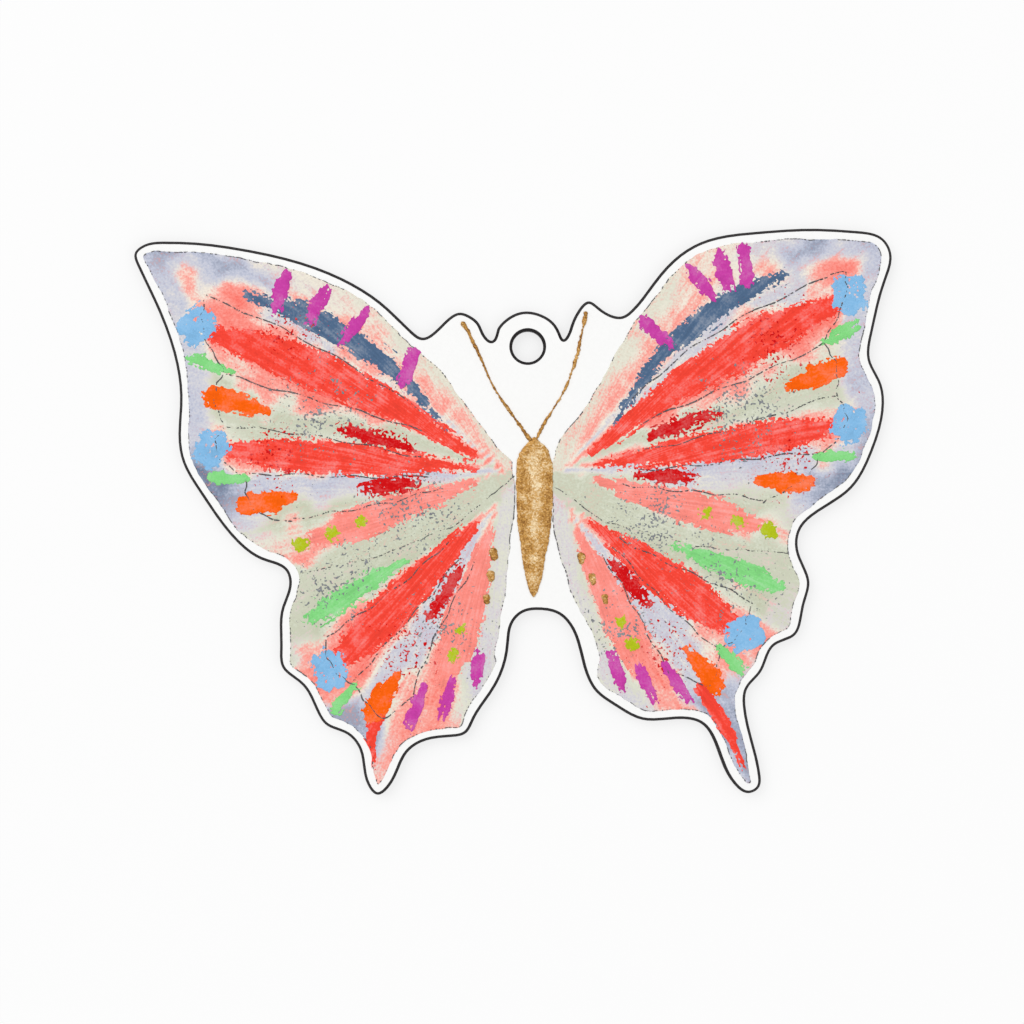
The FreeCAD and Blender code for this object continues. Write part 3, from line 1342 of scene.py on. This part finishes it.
@dataclass(frozen=True)
class Spatter:
    """Fine drops flicked from a brush, thick in some places and sparse round them.

    Attributes:
        ink: the drops' colour.
        clouds: X, Y and spread of each place where they are thick, in millimetres.
        shift: where the pattern of drops is taken from, so that no two colours share one.
        thick: how thick the drops lie.
    """

    ink: Ink
    clouds: tuple[tuple[float, float, float], ...]
    shift: float
    thick: float = 0.5

    def depth(self, painted: Field, x: np.ndarray, y: np.ndarray) -> np.ndarray:
        """Give how far each point lies inside a drop, negative outside.

        Args:
            painted: how far a point lies inside the painted wings.
            x: X of the points, in millimetres.
            y: Y of the points.

        Returns:
            The depth in millimetres.
        """
        load = np.zeros(x.shape)
        for cloud_x, cloud_y, spread in self.clouds:
            load = np.maximum(load, np.exp(-((x - cloud_x) ** 2 + (y - cloud_y) ** 2) / (2 * spread ** 2)))
        load = load * (1 + 0.6 * TREMBLE.at(x + self.shift, y))
        drops = 0.2 * (SPECKS.at(x + self.shift, y) - 0.92 + self.thick * load)
        return np.minimum(drops, painted(x, y) - 0.3)


@dataclass(frozen=True)
class GoldBody:
    """The butterfly's body, its feelers and a row of beads on each side, in raised glitter.

    Attributes:
        spine: X, Y and half width down the body, in millimetres.
        left_feeler: the left feeler's path, from the head.
        right_feeler: the right feeler's path.
        beads: X, Y and half width of each bead.
        feeler_half: half a feeler's width.
        tip_halves: half its width at its last two places.
        height: thickness of the glue on the body.
        flake_height: how far the flakes stand up from it.
    """

    spine: tuple[tuple[float, float, float], ...] = (
        (2.83, 9.45, 0.35), (2.84, 8.4, 1.1), (2.84, 7.0, 2.1), (2.84, 5.6, 2.42), (2.84, 4.0, 2.45),
        (2.84, 1.5, 2.4), (2.82, -1.6, 2.22), (2.78, -4.0, 1.8), (2.74, -6.4, 1.45), (2.73, -8.4, 1.1),
        (2.72, -9.9, 0.72), (2.72, -11.1, 0.18),
    )
    left_feeler: tuple[Point, ...] = (
        (2.3, 9.4), (-0.1, 12.8), (-1.7, 15.1), (-2.9, 17.1), (-4.1, 20.0), (-5.1, 22.0), (-5.9, 23.7),
        (-6.6, 24.8),
    )
    right_feeler: tuple[Point, ...] = (
        (3.0, 9.4), (4.2, 11.8), (5.9, 14.5), (7.1, 16.7), (7.9, 19.0), (8.6, 21.1), (8.9, 22.7),
        (9.3, 24.6), (9.6, 26.2),
    )
    beads: tuple[tuple[float, float, float], ...] = (
        (-2.6, -5.6, 0.55), (-3.0, -8.6, 0.5), (-3.5, -11.6, 0.42),
        (9.0, -6.2, 0.55), (10.5, -8.9, 0.5), (12.1, -11.6, 0.42),
    )
    feeler_half: float = 0.17
    tip_halves: tuple[float, float] = (0.2, 0.27)
    height: float = 0.26
    flake_height: float = 0.05

    def highlight_and_tone(self, x: np.ndarray, y: np.ndarray) -> np.ndarray:
        """Give the painted highlight on the body's lit ridge, from 0 to 1, stronger higher up the body."""
        ridge = np.clip(1.15 - np.abs(x - 2.9) / 1.5, 0, 1)
        return ridge * np.clip(0.25 + (y + 9) / 12, 0, 1) * np.clip((10.2 - y) / 2.5, 0, 1)

    def relief(self, x: np.ndarray, y: np.ndarray) -> np.ndarray:
        """Give the height of the flakes over the glue, in millimetres."""
        return self.flake_height * FLAKES.at(x, y)

    def build(self) -> list[bpy.types.Object]:
        """Build the body, the feelers and the beads.

        Returns:
            The new pieces.
        """
        places = tuple((x, y) for x, y, _ in self.spine)
        halves = tuple(half for _, _, half in self.spine)
        body = Marks((Touch(places, halves, 0.1, hairy=0.0),))
        feelers = Marks(tuple(
            Touch(path, (self.feeler_half,) * (len(path) - 2) + self.tip_halves, 0.14, hairy=0.0)
            for path in (self.left_feeler, self.right_feeler)
        ))
        beads = Marks(tuple(
            Touch(((x, y + 0.3), (x + 0.1, y - 0.3)), (half, 0.8 * half), 0.15, hairy=0.0)
            for x, y, half in self.beads
        ))
        glitter = partial(Film, block=UNMERGED, relief=self.relief)
        # The body gets a painted highlight along its ridge; the feelers are set a flat step darker and the
        # beads a flat step paler.
        ridge_highlight = {"highlight_and_tone": self.highlight_and_tone}
        dull = {"highlight_and_tone": lambda x, y: np.full(x.shape, -0.3)}
        bright = {"highlight_and_tone": lambda x, y: np.full(x.shape, 0.1)}
        films = (
            glitter("body_glitter", body.box(), body.depth, self.height, 0.12, 1.3, fields=ridge_highlight),
            glitter("feeler_glitter", feelers.box(), feelers.depth, 0.16, 0.1, 0.16, fields=dull),
            glitter("bead_glitter", beads.box(), beads.depth, 0.2, 0.1, 0.3, fields=bright),
        )
        return [film.build() for film in films]


class Artwork:
    """The painted face: washes, brush strokes, chalk marks, pencil, spatter and glitter."""

    def __init__(self, die: DieLine) -> None:
        """Lay out the four wings.

        Args:
            die: the tag's cut edge.
        """
        self.die = die
        forewing = partial(Wing, die=die, bar_lay=BarLay.SQUARE_TO_EDGE)
        hindwing = partial(
            Wing, die=die, bar_lay=BarLay.ALONG_RAY, height=0.032, band_loads=(-0.1, 0.3, 0.1),
            dot_shares=(0.62, 0.75),
        )
        left_forewing = forewing(
            name="left_forewing",
            seed=13,
            root=(-1.0, 5.5),
            border=(
                (-52, 40), (-20, 40), (-17.4, 27.4), (-14.9, 23.3), (-9.6, 18.7), (-5.7, 13.4), (-1.7, 8.1),
                (-0.1, 6.6), (0.2, 4.5), (-8, -2), (-18, -6), (-27, -8), (-52, -14),
            ),
            cells=(
                Cell(146, Ink.SLATE, 1.5, -3.0, 9.0), Cell(155, Ink.CORAL, 2.8, -1.5, dry=0.7), Cell(166),
                Cell(176, Ink.CORAL, 2.4, dry=0.7), Cell(187.5), Cell(200, Ink.SALMON, 2.3),
            ),
            washes=(
                (126, 0.1, 0.0, 0.4), (132, 0.25, 0.0, 0.2), (140, 0.3, 0.0, 0.2), (146, -0.1, 0.4, 0.1),
                (150, 0.3, 0.1, 0.1), (155, 0.6, 0.0, 0.0), (160, 0.25, 0.0, 0.3), (163, -0.2, 0.0, 0.75),
                (169, -0.2, 0.1, 0.7), (172, 0.25, 0.0, 0.3), (176, 0.5, 0.0, 0.1), (180, 0.2, 0.2, 0.2),
                (183, -0.2, 0.5, 0.2), (189, -0.2, 0.3, 0.6), (195, -0.2, 0.0, 0.75), (198, 0.25, 0.0, 0.4),
                (201, 0.35, 0.0, 0.3), (206, -0.1, 0.0, 0.7),
            ),
            bars=(128, 131.5, 135, 138.5),
        )
        right_forewing = forewing(
            name="right_forewing",
            seed=14,
            root=(6.5, 5.5),
            border=(
                (5.3, 6.2), (6.2, 9.5), (10.2, 14.7), (13.5, 20.7), (16.9, 26.4), (16, 40), (55, 42),
                (55, -8), (35.6, -5.5), (24, -4.5), (12, -1.5), (5.4, 3.5),
            ),
            cells=(
                Cell(-16, Ink.SALMON, 2.3), Cell(-3), Cell(9, Ink.CORAL, 2.4, dry=0.7), Cell(20.5),
                Cell(31.5, Ink.CORAL, 2.8, 1.5, dry=0.7), Cell(41.5, Ink.SLATE, 1.5, 3.0, 9.0),
            ),
            washes=(
                (-22, -0.1, 0.0, 0.7), (-17, 0.35, 0.0, 0.3), (-14, 0.25, 0.0, 0.4), (-11, -0.2, 0.0, 0.75),
                (-5, -0.2, 0.3, 0.6), (1, -0.2, 0.5, 0.2), (5, 0.2, 0.2, 0.2), (9, 0.5, 0.0, 0.1),
                (13.5, 0.25, 0.0, 0.3), (17, -0.2, 0.1, 0.7), (23, -0.2, 0.0, 0.75), (26.5, 0.25, 0.0, 0.3),
                (31.5, 0.6, 0.0, 0.0), (37, 0.3, 0.1, 0.1), (41.5, -0.1, 0.4, 0.1), (48, 0.3, 0.0, 0.2),
                (56, 0.25, 0.0, 0.2), (62, 0.1, 0.0, 0.4),
            ),
            bars=(61, 57.5, 54, 50.5),
        )
        left_hindwing = hindwing(
            name="left_hindwing",
            seed=13,
            root=(-1.7, 1.5),
            border=(
                (-27, -5), (-18, -4), (-8, 0), (0.3, 5), (0.4, 5.5), (0.1, -1.1), (-1.1, -11), (-2.4, -18.3),
                (0, -40), (-40, -40), (-40, -6),
            ),
            cells=(
                Cell(212, Ink.MINT, 1.5, start=15.0, inset=4.0), Cell(225, Ink.CORAL, 2.8, dry=0.7),
                Cell(239), Cell(253, Ink.SALMON, 2.5),
            ),
            washes=(
                (205, -0.2, 0.1, 0.75), (216, -0.2, 0.0, 0.8), (219, 0.25, 0.0, 0.4), (225, 0.6, 0.0, 0.1),
                (231, 0.25, 0.1, 0.2), (234, -0.2, 0.4, 0.2), (243, -0.2, 0.4, 0.3), (247, 0.25, 0.0, 0.3),
                (253, 0.5, 0.0, 0.2), (259, 0.2, 0.0, 0.4), (262, -0.2, 0.15, 0.7), (272, -0.15, 0.25, 0.6),
            ),
            bars=(248, 255, 262),
        )
        right_hindwing = hindwing(
            name="right_hindwing",
            seed=14,
            root=(6.9, 0.9),
            border=(
                (5.3, 5.5), (5.3, -1.1), (6.2, -6.4), (8.2, -11.7), (10.2, -15.6), (11.5, -19.6), (8, -40),
                (45, -42), (45, -3), (35.6, -3), (24, -2.5), (12, 0.5), (5.4, 5),
            ),
            cells=(
                Cell(-64, Ink.SALMON, 2.5), Cell(-50), Cell(-36, Ink.CORAL, 2.8, dry=0.7),
                Cell(-21, Ink.MINT, 1.5, start=15.0, inset=4.0),
            ),
            washes=(
                (-80, -0.15, 0.25, 0.6), (-73, -0.2, 0.15, 0.7), (-70, 0.2, 0.0, 0.4), (-64, 0.5, 0.0, 0.2),
                (-58, 0.25, 0.0, 0.3), (-54, -0.2, 0.4, 0.3), (-46, -0.2, 0.4, 0.2), (-42, 0.25, 0.1, 0.2),
                (-36, 0.6, 0.0, 0.1), (-30, 0.25, 0.0, 0.4), (-27, -0.2, 0.0, 0.8), (-15, -0.2, 0.1, 0.75),
            ),
            bars=(-58, -65.5, -73),
        )
        self.wings = (left_forewing, right_forewing, left_hindwing, right_hindwing)
        self.edges = [Sheet(die.low, die.high, pitch=0.15, values=wing.edge_depth) for wing in self.wings]

    def painted(self, x: np.ndarray, y: np.ndarray) -> np.ndarray:
        """Give how far each point lies inside the painted wings, negative outside."""
        return np.maximum.reduce([edge.at(x, y) for edge in self.edges])

    def kept_in(self, depth: Field, x: np.ndarray, y: np.ndarray) -> np.ndarray:
        """Give a paint's depth, with nothing beyond the painted wings."""
        return np.minimum(depth(x, y), self.painted(x, y) + 0.12)

    def pencil_edge(self, x: np.ndarray, y: np.ndarray) -> np.ndarray:
        """Give the depth of the faint broken pencil line round the wings and under the forewings.

        Args:
            x: X of the points, in millimetres.
            y: Y of the points.

        Returns:
            The depth, negative outside.
        """
        depths = [self.painted(x, y), self.edges[0].at(x, y), self.edges[1].at(x, y)]
        line = 0.065 - np.min([np.abs(depth - 0.05) for depth in depths], axis=0)
        return np.minimum(line, 0.1 * (SPECKS.at(x, y) + 0.6 * WATER.at(2 * x, 2 * y)))

    def pencil_veins(self, x: np.ndarray, y: np.ndarray) -> np.ndarray:
        """Give the depth of the hand-drawn pencil veins, broken by the paper's tooth.

        Args:
            x: X of the points, in millimetres.
            y: Y of the points.

        Returns:
            The depth, negative outside.
        """
        lines = Marks(tuple(line for wing in self.wings for line in wing.veins()))
        broken = 0.1 * (SPECKS.at(1.2 * x, 1.2 * y) + 0.4 * WATER.at(2 * x, 2 * y) + 0.33)
        return np.minimum(lines.depth(x, y), broken)

    def tail_strokes(self) -> list[tuple[Ink, Touch]]:
        """Lay the strokes that run down into the tails.

        Returns:
            Each stroke with its paint.
        """
        left = ((-16.8, -24.5), (-18.6, -29.5), (-18.3, -34.2))
        right = ((25.0, -23.5), (28.3, -29.0), (30.6, -34.0))
        return [(Ink.CORAL, Touch(path, (0.9, 0.8, 0.3), 0.35, 0.35, seed=3)) for path in (left, right)]

    def build_layer(self, marks: list[tuple[Ink, Touch]], base: float, paint: partial) -> None:
        """Build one layer of marks, a piece for each paint.

        Args:
            marks: each touch with its paint.
            base: the lowest piece's height over the board, in millimetres.
            paint: the layer's finish, which lacks only its ink.
        """
        sorted_marks: dict[Ink, list[Touch]] = {}
        for ink, touch in marks:
            sorted_marks.setdefault(ink, []).append(touch)
        for number, (ink, touches) in enumerate(sorted_marks.items()):
            finish = paint(ink)
            laid = Marks(tuple(touches))
            film = Film(
                finish.piece_name(), laid.box(), partial(self.kept_in, laid.depth),
                height=base + LAYER_STEP * number, pitch=0.135, fields=BRUSH_WAY,
            )
            mount(film.build(), finish.build())

    def build_spatter(self, spatter: Spatter) -> None:
        """Build one colour's drops.

        Args:
            spatter: the drops.
        """
        finish = Paint(spatter.ink, Medium.SPATTER)
        film = Film(
            finish.piece_name(), self.die.box(), partial(spatter.depth, self.painted), height=0.1, pitch=0.11,
            rounding=0.05, block=UNMERGED, fields=BRUSH_WAY,
        )
        mount(film.build(), finish.build())

    def build(self) -> None:
        """Build and dress every layer of the artwork."""
        wash = Wash().build()
        for wing in self.wings:
            mount(wing.build_wash(), wash)
        strokes = [stroke for wing in self.wings for stroke in wing.strokes()] + self.tail_strokes()
        self.build_layer(strokes, 0.055, partial(Paint, medium=Medium.STROKES))
        self.build_spatter(Spatter(
            ink=Ink.PEPPER,
            clouds=(
                (-25, 13, 5.5), (-14, 0, 5.0), (-23, -9, 4.5), (31, 13, 5.5), (19, -1, 5.0), (28, -9, 4.5),
                (-9, -15, 4.0), (14, -15, 4.0),
            ),
            shift=40.0,
        ))
        self.build_spatter(Spatter(
            ink=Ink.CRIMSON,
            clouds=(
                (-29, 22, 4.0), (-14, -18, 3.5), (35, 22, 4.0), (20, -18, 3.5), (-31, 7, 3.5), (36, 7, 3.5),
            ),
            shift=80.0,
            thick=0.45,
        ))
        chalk = [mark for wing in self.wings for mark in wing.chalk_marks()]
        pastel = partial(Paint, medium=Medium.CHALK, streaked=0.35, pale=0.14)
        self.build_layer(chalk, 0.085, pastel)
        graphite = Graphite().build()
        for name, depth in (("pencil_veins", self.pencil_veins), ("pencil_edge", self.pencil_edge)):
            line = Film(name, self.die.box(), depth, height=0.12, pitch=0.105, rounding=0.05, block=UNMERGED)
            mount(line.build(), graphite)
        glitter = Glitter().build()
        for piece in GoldBody().build():
            mount(piece, glitter)


@dataclass(frozen=True)
class Studio:
    """A pale floor under soft, even light.

    Attributes:
        floor_half: half the floor's side, in metres.
        white: the floor's matt white.
        glow: the floor's own light as the camera sees it, a near white.
        glow_share: how much of what the camera sees of the floor is that light.
        sky: strength of the even light from all round.
        lamp_power: power of the stronger lamp, in watts.
        lamp_size: side of a lamp, in metres.
        lamp_distance: how far the lamps stand from the tag.
    """

    floor_half: float = 2.0
    white: float = 0.97
    glow: float = 0.985
    glow_share: float = 0.75
    sky: float = 0.63
    lamp_power: float = 5.2
    lamp_size: float = 0.9
    lamp_distance: float = 1.2

    def floor_finish(self) -> bpy.types.Material:
        """Make matt white paper, which still shows the tag's shadow.

        Returns:
            The material.
        """
        material, tree, shader = start_material("matt_paper_sweep")
        white = (self.white, self.white, self.white, 1.0)
        feed(shader, {"Base Color": white, "Roughness": 1.0, "Specular IOR Level": 0.0})
        ray = add_node(tree, "ShaderNodeLightPath")
        seen = ray.outputs["Is Camera Ray"]
        for name in ("Is Glossy Ray", "Is Transmission Ray"):
            seen = add_node(tree, MATH, {0: seen, 1: ray.outputs[name]}, operation="MAXIMUM").outputs[0]
        share = add_node(tree, MATH, {0: seen, 1: self.glow_share}, operation="MULTIPLY").outputs[0]
        light = add_node(tree, "ShaderNodeEmission", {
            "Color": (self.glow, self.glow, self.glow, 1.0), "Strength": 1.0,
        })
        mixed = add_node(tree, "ShaderNodeMixShader", {0: share, 1: shader.outputs[0], 2: light.outputs[0]})
        feed(tree.nodes["Material Output"], {"Surface": mixed.outputs[0]})
        return material

    def build_floor(self) -> None:
        """Build the floor."""
        half = self.floor_half
        corners = [(-half, -half, 0), (half, -half, 0), (half, half, 0), (-half, half, 0)]
        mesh = bpy.data.meshes.new("floor")
        mesh.from_pydata(corners, [], [(0, 1, 2, 3)])
        mesh.materials.append(self.floor_finish())
        floor = bpy.data.objects.new("floor", mesh)
        bpy.context.scene.collection.objects.link(floor)

    def build_lamp(self, name: str, azimuth: float, elevation: float, share: float) -> None:
        """Build one soft lamp that looks at the tag.

        Args:
            name: the lamp's name.
            azimuth: its direction round the tag, in degrees from +X.
            elevation: its height over the floor, in degrees.
            share: its power as a share of the stronger lamp's.
        """
        light = bpy.data.lights.new(name, "AREA")
        light.size = self.lamp_size
        light.energy = self.lamp_power * share
        lamp = bpy.data.objects.new(name, light)
        turn, rise = math.radians(azimuth), math.radians(elevation)
        lamp.location = [
            self.lamp_distance * math.cos(rise) * math.cos(turn),
            self.lamp_distance * math.cos(rise) * math.sin(turn),
            self.lamp_distance * math.sin(rise),
        ]
        lamp.rotation_euler = lamp.location.to_track_quat("Z", "Y").to_euler()
        bpy.context.scene.collection.objects.link(lamp)

    def build(self) -> None:
        """Build the floor, the world and the lamps."""
        self.build_floor()
        world = bpy.data.worlds.new("studio")
        world.use_nodes = True
        feed(world.node_tree.nodes["Background"], {"Strength": self.sky, "Color": (1.0, 1.0, 1.0, 1.0)})
        bpy.context.scene.world = world
        self.build_lamp("key", azimuth=135, elevation=52, share=1.0)
        self.build_lamp("fill", azimuth=-30, elevation=60, share=0.45)


@dataclass(frozen=True)
class Lens:
    """The camera, straight above the tag.

    Attributes:
        x: its X, in millimetres.
        y: its Y.
        over_board: its height over the tag's face.
        focal: its focal length.
        sensor: width of its sensor.
    """

    x: float = -0.13
    y: float = -0.04
    over_board: float = 375.5
    focal: float = 100.0
    sensor: float = 36.0

    def build(self) -> None:
        """Make the camera and put it to use."""
        data = bpy.data.cameras.new("camera")
        data.lens = self.focal
        data.sensor_width = self.sensor
        data.clip_start = 0.01
        camera = bpy.data.objects.new("camera", data)
        camera.location = (self.x * MM, self.y * MM, (BOARD_TOP + self.over_board) * MM)
        bpy.context.scene.collection.objects.link(camera)
        bpy.context.scene.camera = camera


def main() -> None:
    """Build the studio, the tag and its artwork."""
    logging.basicConfig(level=logging.INFO, format="%(message)s")
    bpy.context.scene.view_settings.view_transform = "Standard"
    Lens().build()
    Studio().build()
    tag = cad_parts[NODE]
    tag.data.materials.clear()
    tag.data.materials.append(InkedBoard().build())
    log.info("%s: dressed as %s", tag.name, Slot.BOARD.value)
    Artwork(DieLine(tag)).build()


if __name__ == "__main__":
    main()
